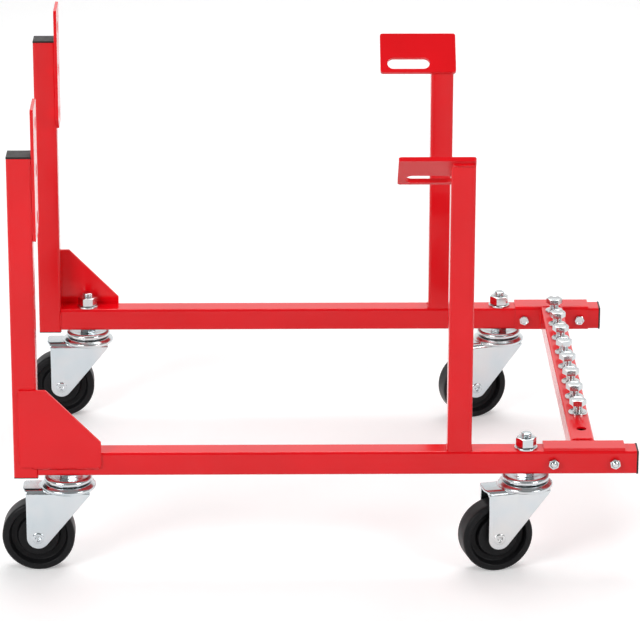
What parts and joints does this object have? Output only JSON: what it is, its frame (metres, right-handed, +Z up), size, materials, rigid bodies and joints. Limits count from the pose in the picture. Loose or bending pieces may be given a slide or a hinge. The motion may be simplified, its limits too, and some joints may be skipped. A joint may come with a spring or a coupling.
{
  "type": "wheeled engine cradle stand",
  "caption": "Red square-tube engine cradle on four swivel casters, with bell-housing plates, sloped slotted mount brackets and bolts stored on a front crossbar.",
  "frame": {"origin": "on the floor plane, at the centre of the overall footprint", "axes": "+X along the rails towards the crossbar end, +Y to the left side, +Z up"},
  "size_m": [0.6664, 0.5152, 0.502],
  "materials": {
    "red_powder_coat": "gloss powder coat over mild steel",
    "zinc_plate": "bright zinc-plated steel",
    "black_plastic": "moulded black polyethylene plug",
    "wheel_plastic": "hard black moulded wheel, satin",
    "bearing_steel": "polished bearing steel"
  },
  "bodies": {
    "frame": {"right_rail": "red_powder_coat", "right_rear_upright": "red_powder_coat", "right_front_upright": "red_powder_coat", "right_gusset": "red_powder_coat", "right_rear_plate": "red_powder_coat", "right_mount_bracket": "red_powder_coat", "right_saddle": "red_powder_coat", "left_rail": "red_powder_coat", "left_rear_upright": "red_powder_coat", "left_front_upright": "red_powder_coat", "left_gusset": "red_powder_coat", "left_rear_plate": "red_powder_coat", "left_mount_bracket": "red_powder_coat", "left_saddle": "red_powder_coat", "crossbar": "red_powder_coat", "upright_top_caps": "black_plastic", "upright_bottom_caps": "black_plastic", "rail_end_caps": "black_plastic", "saddle_bolts": "zinc_plate", "saddle_nuts": "zinc_plate", "storage_bolts": "zinc_plate", "storage_washers": "zinc_plate", "storage_nuts": "zinc_plate", "stem_nuts": "zinc_plate", "stem_washers": "zinc_plate", "rear_right_caster_stem": "zinc_plate", "rear_right_caster_race": "zinc_plate", "rear_left_caster_stem": "zinc_plate", "rear_left_caster_race": "zinc_plate", "front_right_caster_stem": "zinc_plate", "front_right_caster_race": "zinc_plate", "front_left_caster_stem": "zinc_plate", "front_left_caster_race": "zinc_plate"},
    "rear_right_fork": {"rear_right_caster_fork": "zinc_plate", "rear_right_caster_axle": "zinc_plate", "rear_right_caster_bush": "zinc_plate", "rear_right_caster_balls": "bearing_steel"},
    "rear_right_wheel": {"rear_right_caster_wheel": "wheel_plastic"},
    "rear_left_fork": {"rear_left_caster_fork": "zinc_plate", "rear_left_caster_axle": "zinc_plate", "rear_left_caster_bush": "zinc_plate", "rear_left_caster_balls": "bearing_steel"},
    "rear_left_wheel": {"rear_left_caster_wheel": "wheel_plastic"},
    "front_right_fork": {"front_right_caster_fork": "zinc_plate", "front_right_caster_axle": "zinc_plate", "front_right_caster_bush": "zinc_plate", "front_right_caster_balls": "bearing_steel"},
    "front_right_wheel": {"front_right_caster_wheel": "wheel_plastic"},
    "front_left_fork": {"front_left_caster_fork": "zinc_plate", "front_left_caster_axle": "zinc_plate", "front_left_caster_bush": "zinc_plate", "front_left_caster_balls": "bearing_steel"},
    "front_left_wheel": {"front_left_caster_wheel": "wheel_plastic"}
  },
  "joints": [
    {"name": "rear_right_swivel", "type": "hinge", "parent": "frame", "child": "rear_right_fork", "pos_m": [-0.26295, -0.2286, 0.09], "axis": [0, 0, 1], "continuous": true},
    {"name": "rear_right_spin", "type": "hinge", "parent": "rear_right_fork", "child": "rear_right_wheel", "pos_m": [-0.29495, -0.2286, 0.0381], "axis": [0, 1, 0], "continuous": true},
    {"name": "rear_left_swivel", "type": "hinge", "parent": "frame", "child": "rear_left_fork", "pos_m": [-0.26295, 0.2286, 0.09], "axis": [0, 0, 1], "continuous": true},
    {"name": "rear_left_spin", "type": "hinge", "parent": "rear_left_fork", "child": "rear_left_wheel", "pos_m": [-0.29493, 0.22748, 0.0381], "axis": [-0.0349, 0.9994, 0], "continuous": true},
    {"name": "front_right_swivel", "type": "hinge", "parent": "frame", "child": "front_right_fork", "pos_m": [0.21585, -0.2286, 0.09], "axis": [0, 0, 1], "continuous": true},
    {"name": "front_right_spin", "type": "hinge", "parent": "front_right_fork", "child": "front_right_wheel", "pos_m": [0.1848, -0.23634, 0.0381], "axis": [-0.2419, 0.9703, 0], "continuous": true},
    {"name": "front_left_swivel", "type": "hinge", "parent": "frame", "child": "front_left_fork", "pos_m": [0.21585, 0.2286, 0.09], "axis": [0, 0, 1], "continuous": true},
    {"name": "front_left_spin", "type": "hinge", "parent": "front_left_fork", "child": "front_left_wheel", "pos_m": [0.18525, 0.21924, 0.0381], "axis": [-0.2924, 0.9563, 0], "continuous": true}
  ]
}
